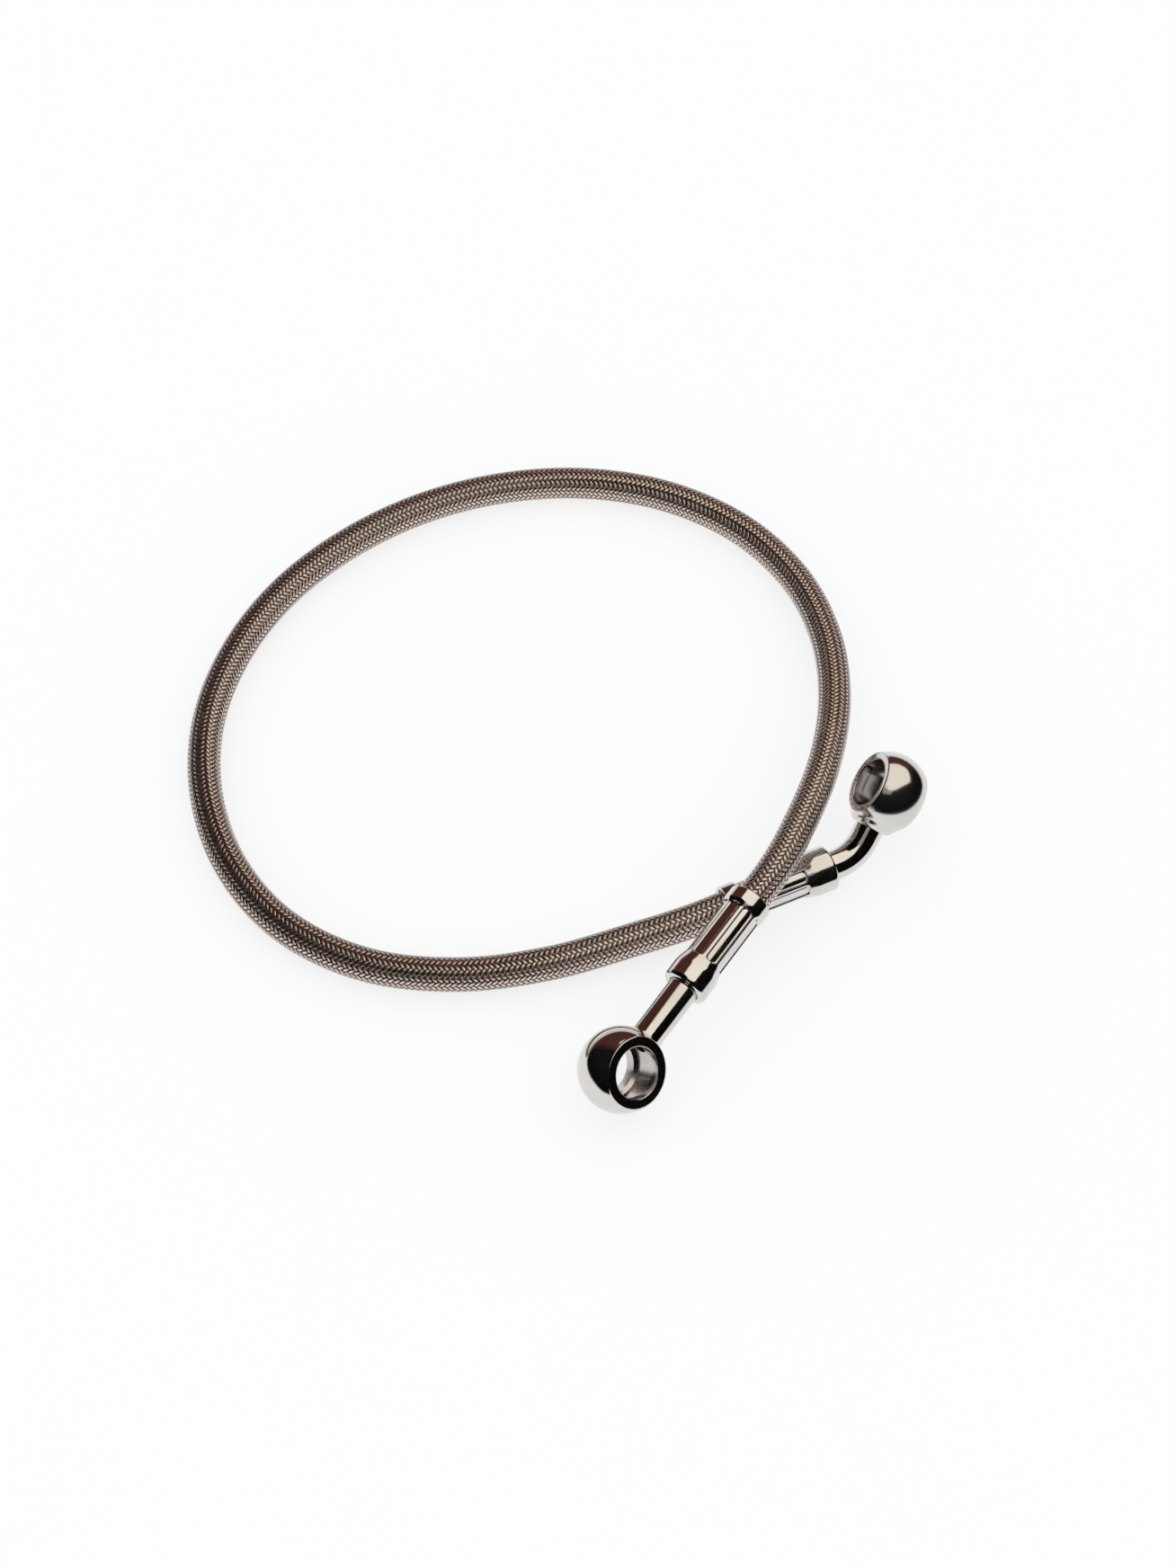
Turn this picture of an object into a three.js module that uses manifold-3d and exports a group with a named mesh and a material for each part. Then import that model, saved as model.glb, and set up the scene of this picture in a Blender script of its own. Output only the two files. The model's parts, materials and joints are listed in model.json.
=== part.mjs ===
// Braided brake line with a banjo fitting on each end, lying in one loop that crosses over itself.
// Millimetres, +Z up. The line lies on the plane z = 0, with the origin under the middle of its outline.

import * as THREE from 'three';
import { mergeVertices } from 'three/addons/utils/BufferGeometryUtils.js';
import Module from 'manifold-3d';

// Hose: a plastic liner in a steel wire braid, under a clear cover
const HOSE_OD = 7.0;
const COVER_WALL = 0.35;
const BRAID_WALL = 0.5;
const LINER_WALL = 0.75;
const LAYER_GAP = 0.1;
const HOSE_SIDES = 12;
const HOSE_STEPS = 40;

// Room between pieces that seat in each other
const FIT_GAP = 0.3;

// Crimped ferrule, measured from the mouth that the hose goes into
const MOUTH_LENGTH = 3.4;
const MOUTH_WALL = 0.75;
const MOUTH_LIP = 0.4;
const MOUTH_TAPER = 1.2;
const CRIMP_LENGTH = 12.6;
const CRIMP_WALL = 0.45;
const RIDGE_HEIGHT = 0.3;
const RIDGE_WIDTH = 0.36;
const CRIMP_DIES = 8;
const SHOULDER_LENGTH = 4.0;
const COLLAR_LENGTH = 3.8;
const COLLAR_WALL = 1.4;
const COLLAR_CORNER = 0.9;
const COVER_ENTRY = 2.3;
const LIP_LENGTH = 2.0;
const LIP_HEIGHT = 0.5;
const LIP_SETBACK = 1.9;
const FERRULE_SIDES = 24;

// Stem: a steel tube with a barbed tail that the liner is pushed onto
const STRAIGHT_STEM_OD = 6.4;
const BENT_STEM_OD = 6.2;
const STEM_BORE = 2.5;
const TAIL_LENGTH = 15.0;
const TAIL_BORE = 1.6;
const BARB_GAP = 0.2;
const BARB_DEPTH = 0.25;
const BARB_PITCH = 3.0;
const BARB_COUNT = 4;
const FLANGE_LENGTH = 0.8;
const STEM_SIDES = 20;

// Bend of the bent end's stem
const BEND_ANGLE = 45;
const BEND_RADIUS = 10.0;
const BEND_STEPS = 6;
const BEND_LEAD = 1.35;

// Banjo eyes: a ball cut off at two faces, bored for an M10 bolt
const EYE_WIDTH = 10.0;
const EYE_BORE = 10.2;
const OIL_GROOVE_OD = 11.8;
const OIL_GROOVE_WIDTH = 5.4;
const OIL_GROOVE_SLOPE = 0.5;
const CROSS_HOLE = 3.0;
const SOCKET_FLOOR = 1.3;
const STRAIGHT_BALL_OD = 17.2;
const BENT_BALL_OD = 16.5;
const STRAIGHT_REACH = 20.8;
const BENT_REACH = 10.9;
const BOSS_WALL = 0.35;
const BOSS_FLARE = 1.0;
const BOSS_LENGTH = 1.0;
const BOSS_SETBACK = 0.05;
const EYE_SIDES = 36;
const BALL_STEPS = 8;

// Where the two ferrule mouths lie, seen from above, and how the fittings are turned
const STRAIGHT_MOUTH = [54.1, -22.8];
const STRAIGHT_HEADING = -99.7;
const STRAIGHT_ROLL = 38.0;
const BENT_MOUTH = [48.5, -22.2];
const BENT_HEADING = 50.6;
const BENT_ROLL = 50.7;

// The hose between the mouths: x, y and the share of the crossing's lift, from the straight end on
const EXIT_LEAD = 8.0;
const CROSSING_GAP = 0.3;
const MOUTH_LIFT = 0.98;
const ROUTE = [
  [55.6, -3.9, 1.0],
  [53.8, 14.6, 0.79],
  [48.7, 32.7, 0.5],
  [39.8, 49.2, 0.24],
  [26.8, 62.4, 0.07],
  [10.1, 70.3, 0],
  [-8.7, 71.6, 0],
  [-26.8, 66.9, 0],
  [-42.9, 57.4, 0],
  [-56.2, 44.2, 0],
  [-66.0, 28.1, 0],
  [-71.9, 10.2, 0],
  [-73.0, -8.5, 0],
  [-69.2, -26.9, 0],
  [-60.1, -43.4, 0],
  [-46.7, -56.4, 0],
  [-30.0, -64.2, 0],
  [-11.3, -65.1, 0],
  [6.5, -59.2, 0],
  [22.2, -48.7, 0.01],
  [35.8, -35.8, 0.06],
];

const TURN = 2 * Math.PI;
const BEYOND = 1.0;
const CUTTER_SIDES = 16;
const MERGE_DISTANCE = 1e-4;

const wasm = await Module();
wasm.setup();

// Radii that follow from the sizes above
const hoseRadius = HOSE_OD / 2;
const coverBore = hoseRadius - COVER_WALL;
const braidRadius = coverBore - LAYER_GAP;
const braidBore = braidRadius - BRAID_WALL;
const linerRadius = braidBore - LAYER_GAP;
const linerBore = linerRadius - LINER_WALL;
const ferruleBore = braidRadius + FIT_GAP;
const mouthBore = hoseRadius + FIT_GAP;
const mouthRadius = mouthBore + MOUTH_WALL;
const flatDistance = ferruleBore + CRIMP_WALL;
const crimpRadius = flatDistance + RIDGE_HEIGHT;
const collarRadius = ferruleBore + COLLAR_WALL;
const flangeRadius = ferruleBore - FIT_GAP;
const lipRadius = flangeRadius - LIP_HEIGHT + FIT_GAP;
const grooveRadius = lipRadius - FIT_GAP;
const barbRadius = linerBore - BARB_GAP;
const tailRadius = barbRadius - BARB_DEPTH;

// Places along a fitting's axis, from the ferrule's mouth towards the eye
const ferruleLength = MOUTH_LENGTH + CRIMP_LENGTH + SHOULDER_LENGTH + COLLAR_LENGTH;
const lipEnd = ferruleLength - LIP_SETBACK;
const lipStart = lipEnd - LIP_LENGTH;
const grooveStart = lipStart - FIT_GAP;
const grooveEnd = lipEnd + FIT_GAP;
const flangeStart = grooveStart - FLANGE_LENGTH;
const hoseEnd = flangeStart - FIT_GAP;
const tailTip = flangeStart - TAIL_LENGTH;

// A path that passes through its stations one by one, however far apart they are
class StationPath extends THREE.Curve {
  constructor(stations) {
    super();
    this.stations = stations;
  }

  getPoint(t, target = new THREE.Vector3()) {
    const place = t * (this.stations.length - 1);
    const i = Math.min(Math.round(place - 0.5 + 1e-9), this.stations.length - 2);
    return target.lerpVectors(this.stations[i], this.stations[i + 1], place - i);
  }

  getPointAt(u, target) {
    return this.getPoint(u, target);
  }

  getTangentAt(u, target = new THREE.Vector3()) {
    const last = this.stations.length - 1;
    const i = Math.round(u * last);
    const before = this.stations[Math.max(i - 1, 0)];
    const after = this.stations[Math.min(i + 1, last)];
    return target.subVectors(after, before).normalize();
  }
}

function circle(radius, boreRadius = 0) {
  const shape = new THREE.Shape();
  shape.absarc(0, 0, radius, 0, TURN);
  if (boreRadius > 0) {
    const hole = new THREE.Path();
    hole.absarc(0, 0, boreRadius, 0, TURN);
    shape.holes.push(hole);
  }
  return shape;
}

function swept(section, stations, sides) {
  return new THREE.ExtrudeGeometry(section, {
    extrudePath: new StationPath(stations),
    steps: stations.length - 1,
    curveSegments: sides / 2,
    bevelEnabled: false,
  });
}

// A profile of [place along X, radius] pairs turned about the X axis
function turned(profile, sides) {
  const outline = [...profile, profile[0]].map(([x, radius]) => new THREE.Vector2(radius, x));
  return new THREE.LatheGeometry(outline, sides).rotateZ(-Math.PI / 2);
}

function rod(from, to, radius, sides) {
  return new THREE.CylinderGeometry(radius, radius, to - from, sides)
    .rotateZ(-Math.PI / 2)
    .translate((from + to) / 2, 0, 0);
}

function solid(geometry) {
  const bare = geometry.clone();
  bare.deleteAttribute('normal');
  bare.deleteAttribute('uv');
  const merged = mergeVertices(bare, MERGE_DISTANCE);
  return new wasm.Manifold(new wasm.Mesh({
    numProp: 3,
    vertProperties: new Float32Array(merged.attributes.position.array),
    triVerts: new Uint32Array(merged.index.array),
  }));
}

function geometryOf(manifold) {
  const { vertProperties, triVerts } = manifold.getMesh();
  const geometry = new THREE.BufferGeometry();
  geometry.setAttribute('position', new THREE.BufferAttribute(vertProperties, 3));
  geometry.setIndex(new THREE.BufferAttribute(triVerts, 1));
  geometry.computeVertexNormals();
  return geometry;
}

// One crimping die: a slot with round ends, whose floor is a flat of the crimp
function crimpDie() {
  const halfWidth = Math.sin(Math.PI / CRIMP_DIES) * crimpRadius - RIDGE_WIDTH / 2;
  const from = MOUTH_LENGTH + halfWidth;
  const to = MOUTH_LENGTH + CRIMP_LENGTH;
  const slot = new THREE.Shape();
  slot.absarc(from, 0, halfWidth, Math.PI / 2, 1.5 * Math.PI);
  slot.absarc(to, 0, halfWidth, -Math.PI / 2, Math.PI / 2);
  return new THREE.ExtrudeGeometry(slot, {
    depth: collarRadius + BEYOND - flatDistance,
    curveSegments: 3,
    bevelEnabled: false,
  }).translate(0, 0, flatDistance);
}

function ferruleGeometry(stemRadius) {
  const crimpStart = MOUTH_LENGTH + MOUTH_TAPER / 2;
  const crimpEnd = MOUTH_LENGTH + CRIMP_LENGTH;
  const collarStart = crimpEnd + SHOULDER_LENGTH;
  const middle = (crimpRadius + collarRadius) / 2;
  const profile = [
    [0, mouthBore],
    [0, mouthRadius - MOUTH_LIP],
    [MOUTH_LIP, mouthRadius],
    [crimpStart - MOUTH_TAPER, mouthRadius],
    [crimpStart, crimpRadius],
    [crimpEnd, crimpRadius],
    [crimpEnd + SHOULDER_LENGTH / 4, crimpRadius + (middle - crimpRadius) / 3],
    [crimpEnd + SHOULDER_LENGTH / 2, middle],
    [crimpEnd + SHOULDER_LENGTH * 0.75, collarRadius - (collarRadius - middle) / 3],
    [collarStart, collarRadius],
    [ferruleLength - COLLAR_CORNER, collarRadius],
    [ferruleLength - COLLAR_CORNER * 0.3, collarRadius - COLLAR_CORNER * 0.3],
    [ferruleLength, collarRadius - COLLAR_CORNER],
    [ferruleLength, stemRadius + FIT_GAP],
    [lipEnd, stemRadius + FIT_GAP],
    [lipEnd, lipRadius],
    [lipStart, lipRadius],
    [lipStart, ferruleBore],
    [COVER_ENTRY + FIT_GAP, ferruleBore],
    [COVER_ENTRY + FIT_GAP, mouthBore],
  ];
  const die = crimpDie();
  let body = solid(turned(profile, FERRULE_SIDES));
  for (let i = 0; i < CRIMP_DIES; i += 1) {
    const turn = ((i + 0.5) / CRIMP_DIES) * TURN;
    body = body.subtract(solid(die.clone().rotateX(turn)));
  }
  return geometryOf(body);
}

function barbedTail() {
  const outline = [[tailTip, 0], [tailTip, tailRadius]];
  for (let i = 0; i < BARB_COUNT; i += 1) {
    const from = tailTip + FIT_GAP + i * BARB_PITCH;
    outline.push([from, tailRadius], [from + BARB_PITCH / 2, barbRadius], [from + BARB_PITCH / 2, tailRadius]);
  }
  outline.push([flangeStart, tailRadius], [flangeStart, flangeRadius], [grooveStart, flangeRadius]);
  outline.push([grooveStart, grooveRadius], [grooveEnd + BEYOND, grooveRadius], [grooveEnd + BEYOND, 0]);
  return new THREE.LatheGeometry(outline.map(([x, radius]) => new THREE.Vector2(radius, x)), STEM_SIDES)
    .rotateZ(-Math.PI / 2);
}

// The tube runs from the ferrule's lip along its stations. The tail's narrow bore goes on through the
// flange, and the tube's wide bore starts behind it.
function stemGeometry(stations, radius) {
  const last = stations.length - 1;
  const ahead = stations[last].clone().sub(stations[last - 1]).setLength(BEYOND).add(stations[last]);
  const boreStations = [new THREE.Vector3(grooveStart, 0, 0), ...stations, ahead];
  const body = solid(barbedTail())
    .add(solid(swept(circle(radius), stations, STEM_SIDES)))
    .subtract(solid(swept(circle(STEM_BORE / 2), boreStations, CUTTER_SIDES)))
    .subtract(solid(rod(tailTip - BEYOND, grooveStart + BEYOND, TAIL_BORE / 2, CUTTER_SIDES)));
  return geometryOf(body);
}

// The eye stands at its own centre, with its bore along Y and its stem coming from -X
function eyeGeometry(ballRadius, stemRadius, socketStart, boss) {
  const half = EYE_WIDTH / 2;
  const boreRadius = EYE_BORE / 2;
  const oilRadius = OIL_GROOVE_OD / 2;
  const oilHalf = OIL_GROOVE_WIDTH / 2;
  const faceAngle = Math.asin(half / ballRadius);
  const outline = [];
  for (let i = 0; i <= BALL_STEPS; i += 1) {
    const angle = faceAngle * (2 * i / BALL_STEPS - 1);
    outline.push([ballRadius * Math.sin(angle), ballRadius * Math.cos(angle)]);
  }
  outline.push([half, boreRadius], [oilHalf, boreRadius], [oilHalf - OIL_GROOVE_SLOPE, oilRadius]);
  outline.push([OIL_GROOVE_SLOPE - oilHalf, oilRadius], [-oilHalf, boreRadius], [-half, boreRadius], outline[0]);
  const ball = new THREE.LatheGeometry(outline.map(([y, radius]) => new THREE.Vector2(radius, y)), EYE_SIDES);
  let body = solid(ball);
  if (boss) {
    body = body.add(solid(boss));
  }
  body = body
    .subtract(solid(rod(-ballRadius - BEYOND, socketStart, stemRadius + FIT_GAP, STEM_SIDES)))
    .subtract(solid(rod(-ballRadius, -boreRadius, CROSS_HOLE / 2, CUTTER_SIDES)));
  return geometryOf(body);
}

// A short cone on the bent end's eye, which flares from the stem into the ball
function bossGeometry(ballRadius, stemRadius, socketStart) {
  const tip = BOSS_SETBACK - ballRadius;
  const root = socketStart + SOCKET_FLOOR - FIT_GAP;
  const tipRadius = stemRadius + FIT_GAP + BOSS_WALL;
  const profile = [
    [tip, 0],
    [tip, tipRadius],
    [tip + BOSS_LENGTH, tipRadius + BOSS_FLARE],
    [root, tipRadius + BOSS_FLARE],
    [root, 0],
  ];
  return turned(profile, STEM_SIDES);
}

function metal(color, roughness) {
  return new THREE.MeshStandardMaterial({ color, roughness, metalness: 1 });
}

const fittingSteel = metal(0xb9b4ae, 0.12);
const braidSteel = metal(0x9b9086, 0.38);
const clearPlastic = new THREE.MeshStandardMaterial({
  color: 0xe9e5de, roughness: 0.1, metalness: 0, transparent: true, opacity: 0.25,
});
const whitePlastic = new THREE.MeshStandardMaterial({ color: 0xefede6, roughness: 0.6, metalness: 0 });

function piece(name, geometry, material) {
  const mesh = new THREE.Mesh(geometry, material);
  mesh.name = name;
  return mesh;
}

function fitting(mouth, heading, pitch, roll) {
  const group = new THREE.Group();
  group.position.copy(mouth);
  group.rotation.set(
    THREE.MathUtils.degToRad(roll), pitch, THREE.MathUtils.degToRad(heading), 'ZYX',
  );
  group.updateMatrixWorld();
  return group;
}

const along = (group, x) => group.localToWorld(new THREE.Vector3(x, 0, 0));

// The crossing's lift is the height that the hose gains where it passes over the bent end's crimp
const crossingLift = collarRadius + crimpRadius + CROSSING_GAP;
const liftedTo = (share) => hoseRadius + share * crossingLift;

// Straight end: its eye touches the surface, and its mouth is held up by the crossing
const straightBall = STRAIGHT_BALL_OD / 2;
const straightStem = STRAIGHT_STEM_OD / 2;
const straightEyeAt = ferruleLength + STRAIGHT_REACH;
const straightSocket = -(OIL_GROOVE_OD / 2 + SOCKET_FLOOR);
const straightMouth = new THREE.Vector3(...STRAIGHT_MOUTH, liftedTo(MOUTH_LIFT));
const straightPitch = Math.asin((straightMouth.z - straightBall) / straightEyeAt);
const straightEnd = fitting(straightMouth, STRAIGHT_HEADING, straightPitch, STRAIGHT_ROLL);
const straightStations = [
  new THREE.Vector3(grooveEnd, 0, 0),
  new THREE.Vector3(straightEyeAt + straightSocket - FIT_GAP, 0, 0),
];
const straightEye = piece(
  'straight_banjo_eye', eyeGeometry(straightBall, straightStem, straightSocket), fittingSteel,
);
straightEye.position.x = straightEyeAt;
straightEnd.add(
  straightEye,
  piece('straight_stem', stemGeometry(straightStations, straightStem), fittingSteel),
  piece('straight_ferrule', ferruleGeometry(straightStem), fittingSteel),
);

// Bent end: its ferrule lies on the surface, and its stem bends towards the eye's bore
const bentBall = BENT_BALL_OD / 2;
const bentStem = BENT_STEM_OD / 2;
const bentSocket = -(OIL_GROOVE_OD / 2 + SOCKET_FLOOR);
const bend = THREE.MathUtils.degToRad(BEND_ANGLE);
const bendStart = ferruleLength + BEND_LEAD;
const bentMouth = new THREE.Vector3(...BENT_MOUTH, collarRadius);
const bentEnd = fitting(bentMouth, BENT_HEADING, 0, BENT_ROLL);
const bentStations = [new THREE.Vector3(grooveEnd, 0, 0)];
for (let i = 0; i <= BEND_STEPS; i += 1) {
  const angle = (i / BEND_STEPS) * bend;
  bentStations.push(new THREE.Vector3(
    bendStart + BEND_RADIUS * Math.sin(angle), BEND_RADIUS * (1 - Math.cos(angle)), 0,
  ));
}
const bendEnd = bentStations[bentStations.length - 1];
const bentHeading = new THREE.Vector3(Math.cos(bend), Math.sin(bend), 0);
const bentEyeAt = bendEnd.clone().addScaledVector(bentHeading, BENT_REACH);
bentStations.push(bentEyeAt.clone().addScaledVector(bentHeading, bentSocket - FIT_GAP));
const bentEye = piece(
  'bent_banjo_eye',
  eyeGeometry(bentBall, bentStem, bentSocket, bossGeometry(bentBall, bentStem, bentSocket)),
  fittingSteel,
);
bentEye.position.copy(bentEyeAt);
bentEye.rotation.z = bend;
bentEnd.add(
  bentEye,
  piece('bent_stem', stemGeometry(bentStations, bentStem), fittingSteel),
  piece('bent_ferrule', ferruleGeometry(bentStem), fittingSteel),
);

// The hose's centreline, straight in both ferrules and free between them
const route = new THREE.CatmullRomCurve3([
  along(straightEnd, hoseEnd),
  along(straightEnd, COVER_ENTRY),
  along(straightEnd, -EXIT_LEAD),
  ...ROUTE.map(([x, y, share]) => new THREE.Vector3(x, y, liftedTo(share))),
  along(bentEnd, -EXIT_LEAD),
  along(bentEnd, COVER_ENTRY),
  along(bentEnd, hoseEnd),
], false, 'centripetal');
route.arcLengthDivisions = 2400;
const held = (hoseEnd - COVER_ENTRY) / route.getLength();
const coverStations = [];
for (let i = 0; i <= HOSE_STEPS; i += 1) {
  coverStations.push(route.getPointAt(held + (1 - 2 * held) * (i / HOSE_STEPS)));
}
const coreStations = [along(straightEnd, hoseEnd), ...coverStations, along(bentEnd, hoseEnd)];

const hose = new THREE.Group();
hose.add(
  piece('hose_cover', swept(circle(hoseRadius, coverBore), coverStations, HOSE_SIDES), clearPlastic),
  piece('hose_braid', swept(circle(braidRadius, braidBore), coreStations, HOSE_SIDES), braidSteel),
  piece('hose_liner', swept(circle(linerRadius, linerBore), coreStations, HOSE_SIDES), whitePlastic),
);

const brakeLine = new THREE.Group();
brakeLine.add(straightEnd, bentEnd, hose);

export default brakeLine;
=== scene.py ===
"""Braided brake line: the visual model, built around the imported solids. Lengths are in metres."""

import json
import math

import bpy
import numpy as np
from bpy.props import FloatProperty, FloatVectorProperty, IntProperty, PointerProperty
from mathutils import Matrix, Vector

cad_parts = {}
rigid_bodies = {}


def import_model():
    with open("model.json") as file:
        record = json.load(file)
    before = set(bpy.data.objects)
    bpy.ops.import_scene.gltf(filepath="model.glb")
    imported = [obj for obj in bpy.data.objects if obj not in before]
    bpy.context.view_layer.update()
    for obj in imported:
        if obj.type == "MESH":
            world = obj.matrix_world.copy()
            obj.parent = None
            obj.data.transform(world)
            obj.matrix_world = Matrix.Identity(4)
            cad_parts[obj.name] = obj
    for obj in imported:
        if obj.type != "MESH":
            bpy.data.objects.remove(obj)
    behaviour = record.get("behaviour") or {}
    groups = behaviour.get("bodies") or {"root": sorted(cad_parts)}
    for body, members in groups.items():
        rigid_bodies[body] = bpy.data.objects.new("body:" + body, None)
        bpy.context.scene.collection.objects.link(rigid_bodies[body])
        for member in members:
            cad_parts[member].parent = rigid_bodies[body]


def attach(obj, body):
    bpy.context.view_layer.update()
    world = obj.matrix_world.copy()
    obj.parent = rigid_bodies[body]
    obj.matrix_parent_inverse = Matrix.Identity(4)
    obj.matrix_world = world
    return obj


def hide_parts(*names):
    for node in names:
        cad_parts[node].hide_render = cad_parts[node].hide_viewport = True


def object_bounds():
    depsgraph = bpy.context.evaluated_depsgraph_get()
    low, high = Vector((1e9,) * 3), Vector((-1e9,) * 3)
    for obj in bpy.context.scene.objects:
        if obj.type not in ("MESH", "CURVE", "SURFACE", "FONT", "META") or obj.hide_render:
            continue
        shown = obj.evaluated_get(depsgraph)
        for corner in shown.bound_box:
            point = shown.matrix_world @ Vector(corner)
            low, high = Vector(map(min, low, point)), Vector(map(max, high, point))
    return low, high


bl_info = {
    "name": "Braided brake line",
    "version": (1, 0, 0),
    "blender": (4, 5, 0),
    "location": "View3D > Sidebar > Brake line",
    "description": "Builds a braided brake line with a banjo fitting on each end",
    "category": "Object",
}

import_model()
CAD_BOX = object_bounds()

TURN = 2 * math.pi
UP = np.array([0.0, 0.0, 1.0])

# Places along a fitting's axis, from the ferrule's mouth towards the eye
COVER_ENTRY = 0.0023
COVER_GAP = 0.0003
CRIMP_END = 0.0160
COLLAR_START = 0.0200
FERRULE_END = 0.0238
LIP_START, LIP_END = 0.0199, 0.0219
GROOVE_START, GROOVE_END = 0.0196, 0.0222
FLANGE_START = 0.0188
HOSE_END = 0.0185
TAIL_TIP = 0.0038
BARB_LEAD = 0.0003
BARB_PITCH = 0.0030
BARB_COUNT = 4

# Ferrule radii, and the eight dies that crimp it
MOUTH_RADIUS = 0.00455
MOUTH_LIP = 0.0004
MOUTH_STEP = (0.0027, 0.0041)
CRIMP_RADIUS = 0.0041
FLAT_DISTANCE = 0.0038
CRIMP_DIES = 8
PANEL_TURN = TURN / CRIMP_DIES
PANEL_START, PANEL_END = 0.0035, 0.0173
PANEL_HALF_WIDTH = 0.00135
PANEL_CORNER = 0.0009
PANEL_EDGE = 0.00018
PANEL_FLATNESS = 0.15
COLLAR_RADIUS = 0.00475
COLLAR_CORNER = 0.0009
FERRULE_BORE = 0.00335
MOUTH_BORE = 0.0038
MOUTH_CHAMFER = (0.0003, 0.0002)
LIP_RADIUS = 0.00285
STEM_SEAM = 0.00012
SEAM_CHAMFER = 0.0001
FERRULE_SHARP = 65.0

# Where a ferrule's outline has points: degrees from a ridge's middle, and runs of (start, end, count)
PANEL_RAYS = (0, 1.4, 2.4, 2.9, 3.4, 3.9, 4.4, 4.9, 7.0, 11.0, 15.5, 20.0)
FERRULE_RUNS = (
    (0.0, MOUTH_LIP, 8), (0.0008, 0.0026, 5), (0.0028, 0.0062, 44),
    (0.0070, 0.0150, 9), (0.0156, 0.0200, 56), (0.0206, 0.0228, 5),
)

# Stem radii, chamfers and bend
STRAIGHT_STEM_RADIUS = 0.0032
BENT_STEM_RADIUS = 0.0031
STEM_BORE = 0.00125
TAIL_BORE = 0.0008
FLANGE_RADIUS = 0.00305
GROOVE_RADIUS = 0.00255
BARB_RADIUS = 0.0015
TAIL_RADIUS = 0.00125
GROOVE_MARGIN = 0.0002
STEM_CHAMFER = 0.0003
STEM_RUN_POINTS = 60
BEND_LEAD = 0.00135
BEND_START = FERRULE_END + BEND_LEAD
BEND_RADIUS = 0.010
BEND_ANGLE = math.radians(45)
SOCKET_DEPTH = 0.0075

# Banjo eyes
STRAIGHT_BALL_RADIUS = 0.0086
BENT_BALL_RADIUS = 0.00825
EYE_HALF_WIDTH = 0.005
EYE_BORE_RADIUS = 0.0051
OIL_GROOVE_RADIUS = 0.0059
OIL_GROOVE_HALF = 0.0027
OIL_GROOVE_SLOPE = 0.0005
CROSS_HOLE_RADIUS = 0.0015
CROSS_HOLE_OVERRUN = 0.0006
SOCKET_FLOOR = 0.0072
DRILL_OVERRUN = 0.002
STRAIGHT_REACH = 0.0208
BENT_REACH = 0.0109
NECK_RADIUS = 0.0038
NECK_LENGTH = 0.0082
NECK_FADE = 0.0011
BORED_MARGIN = 0.00012

# Angles of the neck in radians, and shares of the ball's radius that tell its skin and its bore
NECK_WIDEST = 1.2
NECK_EASE = 0.3
BALL_SKIN = 0.97
BORED_SHARE = 0.92

# Eye edges: shares of the edge radius, the angle left for them, and shares of a quarter turn
EDGE_DEPTH = 0.35
EDGE_REACH = 1.6
EDGE_MARGIN = 0.02
EDGE_TURN = np.linspace(0.15, 1.0, 6)
BALL_ROWS = 49
EYE_SIDES = 168
EYE_SHARP = 30.0

# Hose layers, and how finely they are drawn
HOSE_RADIUS = 0.0035
LINER_RADIUS, LINER_BORE = 0.00245, 0.0017
COVER_STATIONS, COVER_SIDES = 380, 44
LINER_STATIONS, LINER_SIDES = 300, 24
RIBBON_INSET = 0.0002
RIBBON_SECTION = ((-1, -0.4), (-0.85, 0.6), (-0.45, 1), (0.45, 1), (0.85, 0.6), (1, -0.4), (0, -0.8))
ROWS_PER_LEAD = 53
WEAVE_HOLD = 1.5
WIRES_PER_RIBBON = 5
BRAID_SHARP = 80.0

# Painted shade on a ribbon, where its neighbours and the crossings would shade it: off its middle, in its
# rise, and the share of its colour that the painted shade keeps
WIRE_SHADE_EDGE = (0.26, 0.46)
WIRE_SHADE_DIP = (0.3, 0.95)
WIRE_PAINTED_SHADE = (0.1, 0.07, 0.06)

# Where the mouths lie, how the fittings are turned, and the hose's route between them
CROSSING_GAP = 0.0003
CROSSING_LIFT = COLLAR_RADIUS + CRIMP_RADIUS + CROSSING_GAP
STRAIGHT_MOUTH = (0.0541, -0.0228)
STRAIGHT_HEADING = -99.7
STRAIGHT_ROLL = 38.0
STRAIGHT_LIFT = 0.98
BENT_MOUTH = (0.0485, -0.0222)
BENT_HEADING = 50.6
BENT_ROLL = 50.7
EXIT_LEAD = 0.008
ROUTE = (
    (0.0556, -0.0039, 1.0), (0.0538, 0.0146, 0.79), (0.0487, 0.0327, 0.5),
    (0.0398, 0.0492, 0.24), (0.0268, 0.0624, 0.07), (0.0101, 0.0703, 0.0),
    (-0.0087, 0.0716, 0.0), (-0.0268, 0.0669, 0.0), (-0.0429, 0.0574, 0.0),
    (-0.0562, 0.0442, 0.0), (-0.0660, 0.0281, 0.0), (-0.0719, 0.0102, 0.0),
    (-0.0730, -0.0085, 0.0), (-0.0692, -0.0269, 0.0), (-0.0601, -0.0434, 0.0),
    (-0.0467, -0.0564, 0.0), (-0.0300, -0.0642, 0.0), (-0.0113, -0.0651, 0.0),
    (0.0065, -0.0592, 0.0), (0.0222, -0.0487, 0.01), (0.0358, -0.0358, 0.06),
)

# Camera, as the photograph shows the line
CAMERA_TARGET = (0.0100, -0.0063, 0.0035)
CAMERA_DISTANCE = 0.58957
CAMERA_AZIMUTH = math.radians(26.0)
CAMERA_ELEVATION = math.radians(55.5)
CAMERA_LENS = 65.02

# Floor, as half its side and its distance under the line
FLOOR_REACH = 1.5
FLOOR_GAP = 0.0001

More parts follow.
